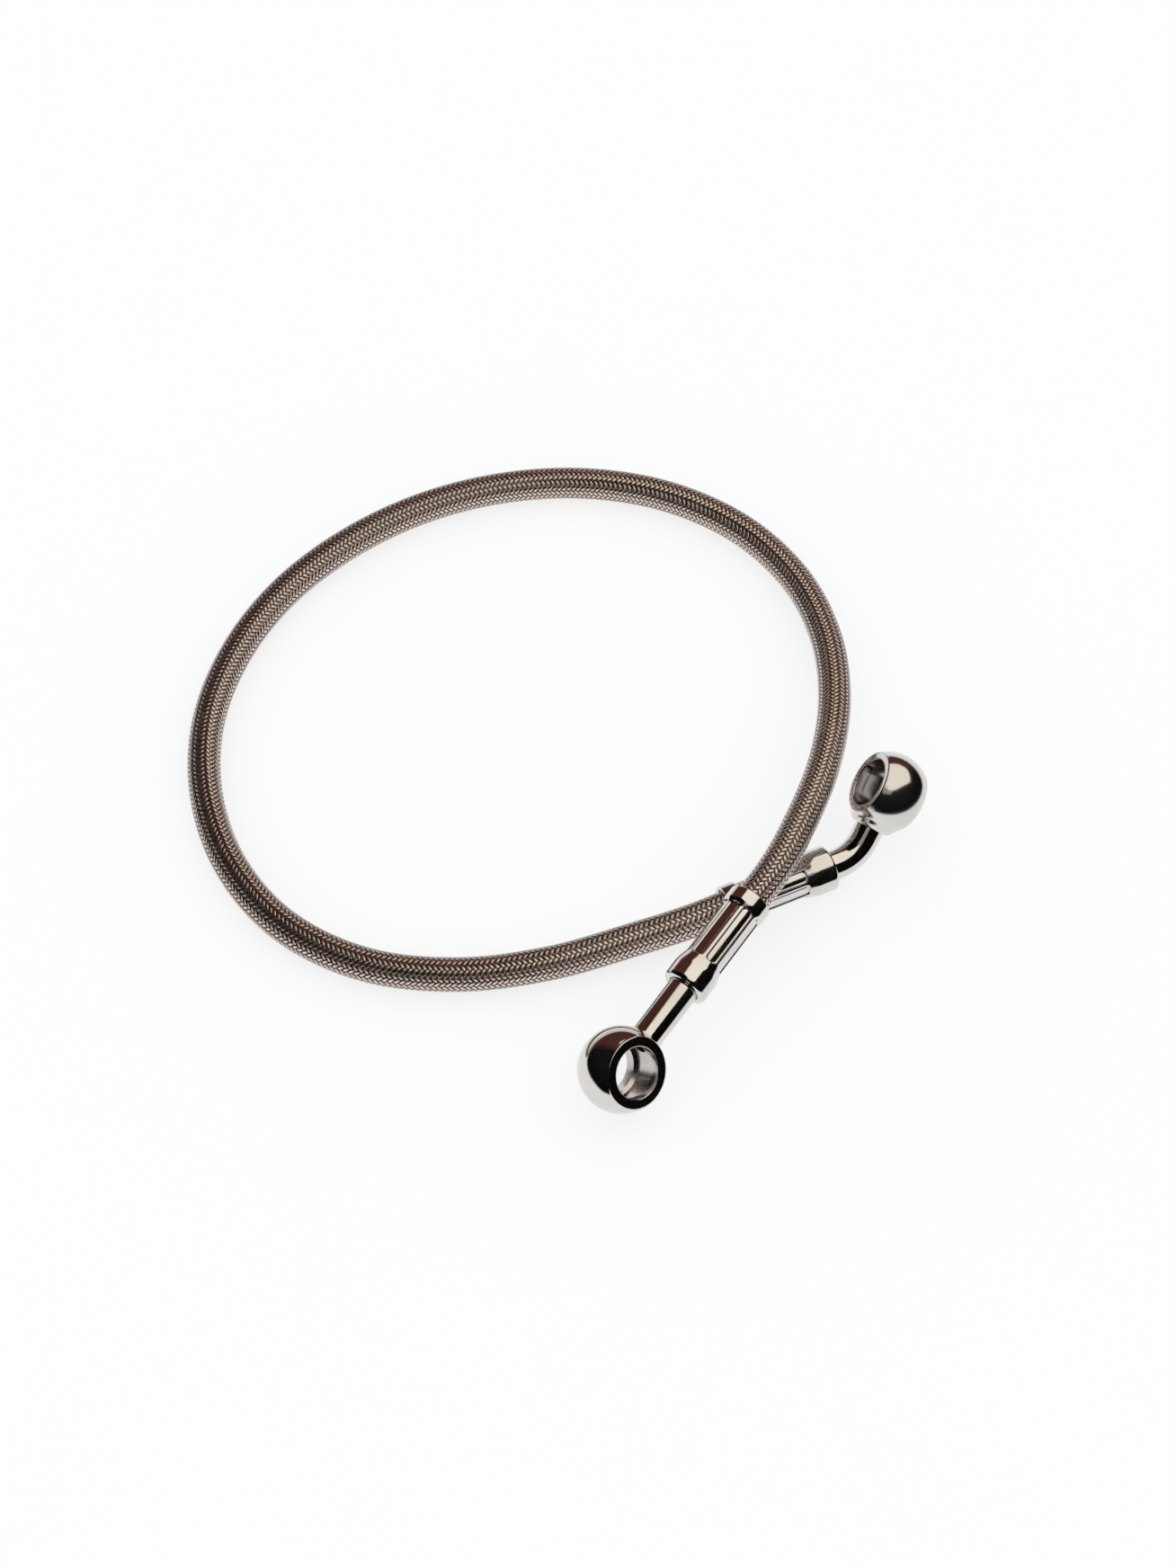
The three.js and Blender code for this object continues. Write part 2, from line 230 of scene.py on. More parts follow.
# Room that gloss sees, as places on the unit sphere, with x to the camera's right and y away from it
CEILING_SLANT = 0.5
CEILING_EDGE = (0.12, 0.5)
PAPER_EDGE = (-0.27, -0.18)
PAPER_RISE_FAR = ((0.3, 1.0), (0.0, 0.26))
PAPER_RISE_LEFT = ((-0.95, -0.6), (0.09, 0.0))

# Outlines of the window that the metal reflects and of its dimmer sill, with the same x and y
WINDOW_HEIGHT = 0.25
WINDOW = (
    (0.020, -0.010), (0.020, -0.125), (0.055, -0.165), (0.130, -0.158),
    (0.432, 0.025), (0.410, 0.240), (0.340, 0.305), (0.180, 0.305),
    (0.060, 0.245), (0.000, 0.170), (-0.020, 0.070),
)
SILL = (
    (-0.030, -0.105), (0.020, -0.125), (0.055, -0.165), (0.110, -0.165),
    (0.070, -0.235), (-0.060, -0.205),
)
SILL_SHARE = 0.3


# Shapes


def unit(vectors):
    """Each vector divided by its own length."""
    return vectors / np.linalg.norm(vectors, axis=-1, keepdims=True)


def smooth_step(value):
    """3v^2 - 2v^3 of a value held between 0 and 1."""
    held = np.clip(value, 0.0, 1.0)
    return held * held * (3.0 - 2.0 * held)


def spline(points, per_span=40):
    """Centripetal Catmull-Rom curve: in each span a cubic in t, whose end slopes come from the
    neighbouring points, weighed by the square root of the distances between them."""
    inner = np.asarray(points, float)
    outer = np.vstack([2 * inner[0] - inner[1], inner, 2 * inner[-1] - inner[-2]])
    knots = np.sqrt(np.linalg.norm(np.diff(outer, axis=0), axis=1))[:, None]
    d0, d1, d2 = knots[:-2], knots[1:-1], knots[2:]
    p0, p1, p2, p3 = outer[:-3], outer[1:-2], outer[2:-1], outer[3:]
    m1 = ((p1 - p0) / d0 - (p2 - p0) / (d0 + d1) + (p2 - p1) / d1) * d1
    m2 = ((p2 - p1) / d1 - (p3 - p1) / (d1 + d2) + (p3 - p2) / d2) * d1
    t = np.linspace(0, 1, per_span, endpoint=False)[None, :, None]
    p1, p2, m1, m2 = (a[:, None, :] for a in (p1, p2, m1, m2))
    spans = p1 + m1 * t + (3 * p2 - 3 * p1 - 2 * m1 - m2) * t**2 + (2 * p1 - 2 * p2 + m1 + m2) * t**3
    return np.vstack([spans.reshape(-1, 3), inner[-1:]])


def lengths_along(line):
    """The distance run at each point of a polyline: the running sum of its steps."""
    steps = np.linalg.norm(np.diff(line, axis=0), axis=1)
    return np.concatenate([[0.0], np.cumsum(steps)])


def points_at(line, distances):
    """The points of a polyline at the given distances, each coordinate interpolated along its length."""
    run = lengths_along(line)
    return np.stack([np.interp(distances, run, line[:, k]) for k in range(3)], axis=-1)


def across(line):
    """Two unit vectors square to the line at each point: one level, one standing on it."""
    ahead = unit(np.gradient(line, axis=0))
    side = unit(np.cross(UP, ahead))
    return side, np.cross(ahead, side)


def off_line(centre, radius, angle, side, lift):
    """Points at centre + radius * (cos(angle) * side + sin(angle) * lift)."""
    cosine, sine = np.cos(angle)[..., None], np.sin(angle)[..., None]
    return centre + radius[..., None] * (cosine * side + sine * lift)


def grid_faces(rows, columns, close_rows=True):
    """One quad between each grid point, the next in its row, and the two under them. The last column
    meets the first, and so does the last row where the rows close."""
    row = np.arange(rows if close_rows else rows - 1)[:, None]
    column = np.arange(columns)[None, :]
    here, below = row * columns, ((row + 1) % rows) * columns
    right = (column + 1) % columns
    corners = [here + column, here + right, below + right, below + column]
    return np.stack(corners, axis=-1).reshape(-1, 4)


def signed_volume(points, faces):
    """Six times the volume inside the quads: the sum of each half quad's triple product."""
    a, b, c, d = (points[faces[:, k]] for k in range(4))
    return np.sum(a * np.cross(b, c)) + np.sum(a * np.cross(c, d))


def make_mesh(name, points, faces, caps=None, sharp=40.0, values=None):
    """A mesh from an array of points, an array of quads and an array of equal end polygons. It is turned
    so that its faces point outwards, shaded smooth, and creased where it bends more than sharp degrees.
    Values are numbers that it keeps at its points, by name."""
    points = np.ascontiguousarray(points.reshape(-1, 3), np.float32)
    if signed_volume(points.astype(float), faces) < 0:
        faces = faces[:, ::-1]
        caps = None if caps is None else caps[:, ::-1]
    corner_counts = np.full(len(faces), 4)
    corners = faces.ravel()
    if caps is not None:
        corner_counts = np.concatenate([corner_counts, np.full(len(caps), caps.shape[1])])
        corners = np.concatenate([corners, caps.ravel()])
    mesh = bpy.data.meshes.new(name)
    mesh.vertices.add(len(points))
    mesh.vertices.foreach_set("co", points.ravel())
    mesh.loops.add(len(corners))
    mesh.loops.foreach_set("vertex_index", corners.astype(np.int32))
    mesh.polygons.add(len(corner_counts))
    mesh.polygons.foreach_set("loop_start", (np.cumsum(corner_counts) - corner_counts).astype(np.int32))
    for label, numbers in (values or {}).items():
        attribute = mesh.attributes.new(label, "FLOAT", "POINT")
        attribute.data.foreach_set("value", np.asarray(numbers, np.float32).ravel())
    mesh.update(calc_edges=True)
    mesh.validate()
    mesh.shade_smooth()
    mesh.set_sharp_from_angle(angle=math.radians(sharp))
    return mesh


def add_piece(name, mesh, material):
    """A new object that holds the mesh at the origin, with one material."""
    piece = bpy.data.objects.new(name, mesh)
    bpy.context.scene.collection.objects.link(piece)
    mesh.materials.clear()
    mesh.materials.append(material)
    return piece


def stand_in_for(piece, node):
    """The piece rides on the line's one body and replaces its solid."""
    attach(piece, "root")
    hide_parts(node)


# Placing


def turn_matrix(heading, pitch, roll):
    """Roll about X, then pitch about Y, then heading about Z, in radians. Each is the unit matrix with
    the cosine at two axes, and the sine and its opposite between them."""
    turns = []
    for angle, first, second in ((heading, 0, 1), (pitch, 2, 0), (roll, 1, 2)):
        turn = np.eye(3)
        turn[first, first] = turn[second, second] = math.cos(angle)
        turn[second, first] = math.sin(angle)
        turn[first, second] = -math.sin(angle)
        turns.append(turn)
    return turns[0] @ turns[1] @ turns[2]


def hose_height(share):
    """The hose's centre height where it has this share of the crossing's lift."""
    return HOSE_RADIUS + share * CROSSING_LIFT


STRAIGHT_EYE_AT = FERRULE_END + STRAIGHT_REACH
STRAIGHT_ORIGIN = np.array([*STRAIGHT_MOUTH, hose_height(STRAIGHT_LIFT)])
STRAIGHT_PITCH = math.asin((STRAIGHT_ORIGIN[2] - STRAIGHT_BALL_RADIUS) / STRAIGHT_EYE_AT)
STRAIGHT_TURN = turn_matrix(math.radians(STRAIGHT_HEADING), STRAIGHT_PITCH, math.radians(STRAIGHT_ROLL))
BENT_ORIGIN = np.array([*BENT_MOUTH, COLLAR_RADIUS])
BENT_TURN = turn_matrix(math.radians(BENT_HEADING), 0.0, math.radians(BENT_ROLL))


def placed(points, origin, turn):
    """Points of a fitting's own frame, turned and moved to where it lies."""
    return points @ turn.T + origin


def straight_place(points):
    """Points of the straight end's frame, where they lie."""
    return placed(np.asarray(points, float), STRAIGHT_ORIGIN, STRAIGHT_TURN)


def bent_place(points):
    """Points of the bent end's frame, where they lie."""
    return placed(np.asarray(points, float), BENT_ORIGIN, BENT_TURN)


def bent_eye_frame():
    """The bent end's eye: its centre in the fitting's frame, and the turn of its own axes there."""
    bend_end = np.array([
        BEND_START + BEND_RADIUS * math.sin(BEND_ANGLE),
        BEND_RADIUS * (1 - math.cos(BEND_ANGLE)),
        0.0,
    ])
    turn = turn_matrix(BEND_ANGLE, 0.0, 0.0)
    return bend_end + BENT_REACH * turn[:, 0], turn


def hose_line():
    """The hose's centreline: a spline that runs straight in both ferrules and through the route."""
    straight = straight_place([(HOSE_END, 0, 0), (COVER_ENTRY, 0, 0), (-EXIT_LEAD, 0, 0)])
    bent = bent_place([(-EXIT_LEAD, 0, 0), (COVER_ENTRY, 0, 0), (HOSE_END, 0, 0)])
    route = [(x, y, hose_height(share)) for x, y, share in ROUTE]
    return spline([*straight, *route, *bent])


HOSE_LINE = hose_line()
HELD = HOSE_END - COVER_ENTRY
CORE_LENGTH = float(lengths_along(HOSE_LINE)[-1])


# Materials


def node_math(tree, operation, first, second=None):
    """A Math node; an input is either a socket or a number."""
    node = tree.nodes.new("ShaderNodeMath")
    node.operation = operation
    for socket, value in zip(node.inputs, (first, second)):
        if value is None:
            continue
        if isinstance(value, (int, float)):
            socket.default_value = value
        else:
            tree.links.new(value, socket)
    return node.outputs[0]


def node_range(tree, value, source, target, smooth=False):
    """A Map Range node from the source pair of numbers to the target pair."""
    node = tree.nodes.new("ShaderNodeMapRange")
    node.interpolation_type = "SMOOTHSTEP" if smooth else "LINEAR"
    tree.links.new(value, node.inputs["Value"])
    node.inputs["From Min"].default_value, node.inputs["From Max"].default_value = source
    node.inputs["To Min"].default_value, node.inputs["To Max"].default_value = target
    return node.outputs["Result"]


def node_blend(tree, factor, first, second):
    """A colour Mix node; each colour is a socket or a tuple."""
    node = tree.nodes.new("ShaderNodeMix")
    node.data_type = "RGBA"
    tree.links.new(factor, node.inputs["Factor"])
    for socket, value in ((node.inputs["A"], first), (node.inputs["B"], second)):
        if isinstance(value, tuple):
            socket.default_value = (*value, 1.0)[:4]
        else:
            tree.links.new(value, socket)
    return node.outputs["Result"]


def handling_marks():
    """Shared by all finishes: soft smudges and fine grain in Object coordinates, each at a given scale."""
    name = "handling_marks"
    if name in bpy.data.node_groups:
        return bpy.data.node_groups[name]
    group = bpy.data.node_groups.new(name, "ShaderNodeTree")
    for label in ("Smudge", "Grain"):
        group.interface.new_socket(label + " Scale", in_out="INPUT", socket_type="NodeSocketFloat")
        group.interface.new_socket(label, in_out="OUTPUT", socket_type="NodeSocketFloat")
    given, result = (group.nodes.new("NodeGroup" + end) for end in ("Input", "Output"))
    place = group.nodes.new("ShaderNodeTexCoord").outputs["Object"]
    for label, detail, low, high in (("Smudge", 4.0, 0.42, 0.68), ("Grain", 2.0, 0.3, 0.7)):
        noise = group.nodes.new("ShaderNodeTexNoise")
        noise.inputs["Detail"].default_value = detail
        group.links.new(place, noise.inputs["Vector"])
        group.links.new(given.outputs[label + " Scale"], noise.inputs["Scale"])
        value = node_range(group, noise.outputs["Fac"], (low, high), (0.0, 1.0), smooth=True)
        group.links.new(value, result.inputs[label])
    return group


def new_material(name):
    """A material with one Principled BSDF."""
    material = bpy.data.materials.new(name)
    material.use_nodes = True
    return material, material.node_tree, material.node_tree.nodes["Principled BSDF"]


def add_marks(tree, smudge_scale, grain_scale):
    """The handling marks in a material, at its own two scales."""
    node = tree.nodes.new("ShaderNodeGroup")
    node.node_tree = handling_marks()
    node.inputs["Smudge Scale"].default_value = smudge_scale
    node.inputs["Grain Scale"].default_value = grain_scale
    return node.outputs["Smudge"], node.outputs["Grain"]


def dimmed(color, shares):
    """The colour times one share, or times a share for each channel."""
    return tuple(np.multiply([*color], shares).tolist())


def add_bump(tree, shader, height, distance, strength):
    """A Bump node between a height and the shader's normal."""
    bump = tree.nodes.new("ShaderNodeBump")
    bump.inputs["Distance"].default_value = distance
    bump.inputs["Strength"].default_value = strength
    tree.links.new(height, bump.inputs["Height"])
    tree.links.new(bump.outputs["Normal"], shader.inputs["Normal"])


def bright_steel(name, color, smudge_scale, roughness):
    """Stainless steel with faint smudges and a very fine grain; roughness is a (clean, smudged) pair."""
    material, tree, shader = new_material(name)
    smudge, grain = add_marks(tree, smudge_scale, grain_scale=5000.0)
    base = node_blend(tree, smudge, tuple(color), dimmed(color, 0.9))
    tree.links.new(base, shader.inputs["Base Color"])
    tree.links.new(node_range(tree, smudge, (0.0, 1.0), roughness), shader.inputs["Roughness"])
    shader.inputs["Metallic"].default_value = 1.0
    add_bump(tree, shader, grain, distance=0.000004, strength=0.3)
    return material


def stored_value(tree, name):
    """A value that the mesh keeps at its points."""
    node = tree.nodes.new("ShaderNodeAttribute")
    node.attribute_name = name
    return node.outputs["Fac"]


def braid_wire_painted_shade(color):
    """Bright wire: round wires side by side in each ribbon, as the size of a sine across it, with painted
    shade at the ribbon's edges and where it dips under the others."""
    material, tree, shader = new_material("braid_wire_painted_shade")
    smudge = add_marks(tree, smudge_scale=300.0, grain_scale=6000.0)[0]
    side = stored_value(tree, "across")
    turned = node_math(tree, "MULTIPLY", side, WIRES_PER_RIBBON * math.pi)
    ridge = node_math(tree, "ABSOLUTE", node_math(tree, "SINE", turned))
    # Painted shade: the colour falls to its dark share at the ribbon's edges and where it dips under the
    # others.
    from_middle = node_math(tree, "ABSOLUTE", node_math(tree, "SUBTRACT", side, 0.5))
    unshaded_side = node_range(tree, from_middle, WIRE_SHADE_EDGE, (1.0, 0.0), smooth=True)
    unshaded_top = node_range(tree, stored_value(tree, "rise"), WIRE_SHADE_DIP, (0.0, 1.0), smooth=True)
    unshaded = node_math(tree, "MULTIPLY", unshaded_side, unshaded_top)
    base = node_blend(tree, unshaded, dimmed(color, WIRE_PAINTED_SHADE), tuple(color))
    tree.links.new(base, shader.inputs["Base Color"])
    tree.links.new(node_range(tree, smudge, (0.0, 1.0), (0.15, 0.2)), shader.inputs["Roughness"])
    shader.inputs["Metallic"].default_value = 1.0
    add_bump(tree, shader, ridge, distance=0.00004, strength=0.25)
    return material


def clear_cover(color):
    """Clear extruded plastic: smooth, with a faint waviness from the braid under it. Its sheen gives it the
    pale edges of a bright room."""
    material, tree, shader = new_material("clear_cover")
    smudge, grain = add_marks(tree, smudge_scale=150.0, grain_scale=900.0)
    tree.links.new(node_range(tree, smudge, (0.0, 1.0), (0.0, 0.02)), shader.inputs["Roughness"])
    shader.inputs["Base Color"].default_value = (*color, 1.0)
    shader.inputs["Transmission Weight"].default_value = 1.0
    shader.inputs["IOR"].default_value = 1.45
    shader.inputs["Sheen Weight"].default_value = 1.0
    shader.inputs["Sheen Roughness"].default_value = 0.25
    add_bump(tree, shader, grain, distance=0.00001, strength=0.1)
    return material


def milky_liner(color):
    """Milky plastic of the inner tube, a little uneven in tone."""
    material, tree, shader = new_material("milky_liner")
    smudge, grain = add_marks(tree, smudge_scale=200.0, grain_scale=3000.0)
    base = node_blend(tree, smudge, tuple(color), dimmed(color, 0.85))
    tree.links.new(base, shader.inputs["Base Color"])
    tree.links.new(node_range(tree, grain, (0.0, 1.0), (0.4, 0.6)), shader.inputs["Roughness"])
    return material


# Settings


class BrakeLineHose(bpy.types.PropertyGroup):
    """Sizes and colours of the hose's layers."""

    cover_bore: FloatProperty(
        name="Cover bore", description="Radius inside the clear cover",
        default=0.0026, min=0.002, max=0.0034, unit="LENGTH", precision=5,
    )
    braid_middle: FloatProperty(
        name="Braid middle", description="Radius that the braid's ribbons weave about",
        default=0.0028, min=0.002, max=0.003, unit="LENGTH", precision=5,
    )
    braid_lift: FloatProperty(
        name="Braid lift", description="How far a ribbon rises and falls where it crosses others",
        default=0.00011, min=0.0, max=0.0005, unit="LENGTH", precision=5,
    )
    ribbon_half_width: FloatProperty(
        name="Ribbon half width", description="Half the width of a ribbon of five wires",
        default=0.00037, min=0.0001, max=0.001, unit="LENGTH", precision=5,
    )
    ribbon_half_height: FloatProperty(
        name="Ribbon half height", description="Half a ribbon's thickness",
        default=0.0001, min=0.00002, max=0.0003, unit="LENGTH", precision=5,
    )
    braid_lead: FloatProperty(
        name="Braid lead", description="Length in which a ribbon goes once round",
        default=0.0177, min=0.005, max=0.05, unit="LENGTH", precision=4,
    )
    ribbons: IntProperty(
        name="Ribbons each way", description="Ribbons that wind in each direction",
        default=16, min=4, max=24,
    )
    wire_color: FloatVectorProperty(
        name="Wire", description="Colour of the braid's wire", subtype="COLOR",
        default=(0.90, 0.75, 0.67), min=0.0, max=1.0,
    )
    cover_color: FloatVectorProperty(
        name="Cover", description="Tint of the clear cover", subtype="COLOR",
        default=(0.995, 0.99, 0.985), min=0.0, max=1.0,
    )
    liner_color: FloatVectorProperty(
        name="Liner", description="Colour of the inner tube", subtype="COLOR",
        default=(0.88, 0.88, 0.85), min=0.0, max=1.0,
    )


class BrakeLineFittings(bpy.types.PropertyGroup):
    """Finish of the eyes, stems and ferrules."""

    steel_color: FloatVectorProperty(
        name="Steel", description="Colour of the polished steel", subtype="COLOR",
        default=(0.74, 0.72, 0.70), min=0.0, max=1.0,
    )
    # The bore's colour, darker than the steel's, is painted shade in the recess; its rougher machined
    # finish is real.
    bore_shaded_color: FloatVectorProperty(
        name="Bore", description="Colour of the machined steel in the eyes' bores", subtype="COLOR",
        default=(0.6, 0.57, 0.55), min=0.0, max=1.0,
    )
    edge_radius: FloatProperty(
        name="Edge radius", description="Rounding of the eyes' edges",
        default=0.00025, min=0.00005, max=0.0008, unit="LENGTH", precision=5,
    )


class BrakeLineStage(bpy.types.PropertyGroup):
    """The floor, and what surrounds the line."""

    floor_color: FloatVectorProperty(
        name="Floor", description="Colour of the surface", subtype="COLOR",
        default=(0.24, 0.245, 0.25), min=0.0, max=1.0,
    )
    floor_glow: FloatProperty(
        name="Floor glow", description="Light that the paper gives off, so that shadows on it stay faint",
        default=0.75, min=0.0, max=1.0,
    )
    window_color: FloatVectorProperty(
        name="Window", description="Colour of the window that bright metal reflects", subtype="COLOR",
        default=(1.08, 1.0, 0.88), min=0.0, max=2.0,
    )
    paper_color: FloatVectorProperty(
        name="Paper", description="Colour of the white paper that bright metal reflects",
        subtype="COLOR", default=(0.93, 0.93, 0.93), min=0.0, max=1.0,
    )
    ceiling_color: FloatVectorProperty(
        name="Ceiling", description="Colour of the dark ceiling that bright metal reflects",
        subtype="COLOR", default=(0.075, 0.024, 0.016), min=0.0, max=1.0,
    )
    wall_color: FloatVectorProperty(
        name="Wall", description="Colour of the dark wall on the camera's side", subtype="COLOR",
        default=(0.001, 0.0007, 0.0006), min=0.0, max=1.0,
    )


# Hose


def tube_wall(line, outer, inner, sides):
    """A tube with a bore: the outer ring carried along the line, then the inner one back again."""
    angles = np.arange(sides) / sides * TURN
    radii = np.repeat([outer, inner], len(line))[:, None]
    both, side, lift = (np.vstack([rows, rows[::-1]])[:, None] for rows in (line, *across(line)))
    return off_line(both, radii, angles, side, lift), grid_faces(len(both), sides)


def woven_ribbons(hose, hand, numbers):
    """Flat ribbons wound round the hose's line. Ribbon number k starts at angle k turns of the circle
    and turns by one turn in a lead. Its radius is the middle radius plus lift times a held cosine,
    whose period is four crossings, so that it goes over two ribbons and under two. The other hand
    takes the opposite sign at the same crossing. The section is flat with a round back. The values are
    the share of the way across the ribbon and how high it rides."""
    start, end = RIBBON_INSET, CORE_LENGTH - RIBBON_INSET
    turns = (end - start) / hose.braid_lead
    rows = int(turns * ROWS_PER_LEAD)
    distances = np.linspace(start, end, rows)
    line = points_at(HOSE_LINE, distances)
    side, lift = across(line)
    wound = distances / hose.braid_lead * TURN
    crossings = 2 * hose.ribbons * wound / TURN
    first = np.asarray(numbers)[:, None]
    phase = 2 * first + hand * crossings
    held = np.clip(WEAVE_HOLD * np.cos(math.pi / 2 * (phase - 0.5)), -1.0, 1.0)
    middle = hose.braid_middle + hand * hose.braid_lift * held
    angle = first / hose.ribbons * TURN + hand * wound

    section = np.array(RIBBON_SECTION)
    slope = hand * math.atan(TURN * hose.braid_middle / hose.braid_lead)
    sideways = section[:, 0] * hose.ribbon_half_width
    around = sideways * math.cos(slope) / hose.braid_middle
    ahead = -sideways * math.sin(slope)
    radius = middle[..., None] + section[:, 1] * hose.ribbon_half_height
    turned = angle[..., None] + around
    place = np.clip(distances[None, :, None] + ahead, 0.0, CORE_LENGTH)
    centre = points_at(HOSE_LINE, place)
    points = off_line(centre, radius, turned, side[None, :, None], lift[None, :, None])

    columns = len(section)
    one = grid_faces(rows, columns, close_rows=False)
    offsets = (np.arange(len(numbers)) * rows * columns)[:, None, None]
    faces = (one[None] + offsets).reshape(-1, 4)
    ends = np.stack([np.arange(columns)[::-1], np.arange(columns) + (rows - 1) * columns])
    caps = (ends[None] + offsets).reshape(-1, columns)
    span = np.broadcast_to(section[:, 0] * 0.5 + 0.5, points.shape[:-1])
    rise = np.broadcast_to((0.5 + 0.5 * hand * held)[..., None], points.shape[:-1])
    return points, faces, caps, {"across": span, "rise": rise}


class BRAKELINE_OT_hose_cover(bpy.types.Operator):
    """Build the clear cover, which is the free hose between the two ferrules"""

    bl_idname = "brakeline.hose_cover"
    bl_label = "Hose cover"

    def execute(self, context):
        hose = context.scene.brake_line_hose
        line = points_at(HOSE_LINE, np.linspace(HELD, CORE_LENGTH - HELD, COVER_STATIONS))
        mesh = make_mesh("clear_cover", *tube_wall(line, HOSE_RADIUS, hose.cover_bore, COVER_SIDES))
        cover = add_piece("clear_cover", mesh, clear_cover(hose.cover_color))
        cover.visible_shadow = False
        stand_in_for(cover, "hose_cover")
        return {"FINISHED"}


class BRAKELINE_OT_hose_braid(bpy.types.Operator):
    """Weave the steel braid, in four pieces of eight ribbons"""

    bl_idname = "brakeline.hose_braid"
    bl_label = "Hose braid"

    def execute(self, context):
        hose = context.scene.brake_line_hose
        wire = braid_wire_painted_shade(hose.wire_color)
        half = hose.ribbons // 2
        for hand, word in ((1, "right"), (-1, "left")):
            for share, first in (("a", 0), ("b", half)):
                numbers = np.arange(first, first + half)
                points, faces, caps, values = woven_ribbons(hose, hand, numbers)
                name = f"braid_{word}_{share}"
                mesh = make_mesh(name, points, faces, caps, BRAID_SHARP, values)
                braid = add_piece(name, mesh, wire)
                stand_in_for(braid, "hose_braid")
        return {"FINISHED"}


class BRAKELINE_OT_hose_liner(bpy.types.Operator):
    """Build the inner tube that holds the fluid"""

    bl_idname = "brakeline.hose_liner"
    bl_label = "Hose liner"

    def execute(self, context):
        hose = context.scene.brake_line_hose
        line = points_at(HOSE_LINE, np.linspace(0.0, CORE_LENGTH, LINER_STATIONS))
        mesh = make_mesh("inner_liner", *tube_wall(line, LINER_RADIUS, LINER_BORE, LINER_SIDES))
        liner = add_piece("inner_liner", mesh, milky_liner(hose.liner_color))
        stand_in_for(liner, "hose_liner")
        return {"FINISHED"}


# Ferrules


def ferrule_radius(x, angle):
    """Outer radius over place and angle. The round part is the mouth ring, a step down to the crimp, an
    S-shaped shoulder and the collar with its rounded corner. Each die sinks a panel with round corners
    into it: its floor lies between a flat and a circle at the flats' distance, and its wall is a smooth
    step over the signed distance to the panel's rounded rectangle."""
    lip = np.sqrt(np.maximum(MOUTH_LIP**2 - (MOUTH_LIP - np.minimum(x, MOUTH_LIP)) ** 2, 0.0))
    body = MOUTH_RADIUS - MOUTH_LIP + lip
    body = body + (CRIMP_RADIUS - MOUTH_RADIUS) * smooth_step(
        (x - MOUTH_STEP[0]) / (MOUTH_STEP[1] - MOUTH_STEP[0])
    )
    body = body + (COLLAR_RADIUS - CRIMP_RADIUS) * smooth_step(
        (x - CRIMP_END) / (COLLAR_START - CRIMP_END)
    )
    past = np.maximum(x - (FERRULE_END - COLLAR_CORNER), 0.0)
    body = body - COLLAR_CORNER + np.sqrt(np.maximum(COLLAR_CORNER**2 - past**2, 0.0))
    share = angle / PANEL_TURN
    within = (share - np.floor(share) - 0.5) * PANEL_TURN
    floor = FLAT_DISTANCE * (1 + PANEL_FLATNESS * (1 / np.cos(within) - 1))
    beyond = np.abs(x - (PANEL_START + PANEL_END) / 2) - (PANEL_END - PANEL_START) / 2 + PANEL_CORNER
    sideways = np.abs(CRIMP_RADIUS * np.sin(within)) - PANEL_HALF_WIDTH + PANEL_CORNER
    outside = np.hypot(np.maximum(beyond, 0), np.maximum(sideways, 0)) - PANEL_CORNER
    outside = outside + np.minimum(np.maximum(beyond, sideways), 0)
    return floor + np.maximum(body - floor, 0) * smooth_step(outside / PANEL_EDGE + 1)


def ferrule_mesh(name, stem_radius, place):
    """The outer surface carried from mouth to collar, and the bore with its lip back to the mouth."""
    half = np.radians(PANEL_RAYS)
    one = np.concatenate([half, PANEL_TURN - half[:0:-1]])
    angles = (one[None, :] + np.arange(CRIMP_DIES)[:, None] * PANEL_TURN).ravel()
    corner = np.sin(np.linspace(0, math.pi / 2, 10))
    outer = np.concatenate([
        *(np.linspace(*run) for run in FERRULE_RUNS), FERRULE_END - COLLAR_CORNER + COLLAR_CORNER * corner,
    ])
    seam = stem_radius + STEM_SEAM
    bore_x, bore_radius = np.array([
        (FERRULE_END, seam + SEAM_CHAMFER),
        (FERRULE_END - SEAM_CHAMFER, seam),
        (LIP_END, seam),
        (LIP_END, LIP_RADIUS),
        (LIP_START, LIP_RADIUS),
        (LIP_START, FERRULE_BORE),
        (COVER_ENTRY + COVER_GAP, FERRULE_BORE),
        (COVER_ENTRY + COVER_GAP, MOUTH_BORE),
        (MOUTH_CHAMFER[0], MOUTH_BORE),
        (0.0, MOUTH_BORE + MOUTH_CHAMFER[1]),
    ]).T
    bore_radius = bore_radius[:, None] * np.ones_like(angles)
    x = np.concatenate([outer, bore_x])[:, None] * np.ones_like(angles)
    radius = np.vstack([ferrule_radius(outer[:, None], angles[None, :]), bore_radius])
    points = np.stack([x, radius * np.cos(angles), radius * np.sin(angles)], axis=-1)
    return make_mesh(name, place(points), grid_faces(len(x), len(angles)), sharp=FERRULE_SHARP)


class BRAKELINE_OT_ferrules(bpy.types.Operator):
    """Build the two crimped ferrules"""

    bl_idname = "brakeline.ferrules"
    bl_label = "Ferrules"

    def execute(self, context):
        color = context.scene.brake_line_fittings.steel_color
        steel = bright_steel("ferrule_steel", color, smudge_scale=160.0, roughness=(0.08, 0.13))
        for word, radius, place in (
            ("straight", STRAIGHT_STEM_RADIUS, straight_place),
            ("bent", BENT_STEM_RADIUS, bent_place),
        ):
            name = word + "_crimped_ferrule"
            ferrule = add_piece(name, ferrule_mesh(name, radius, place), steel)
            stand_in_for(ferrule, word + "_ferrule")
        return {"FINISHED"}


# Stems


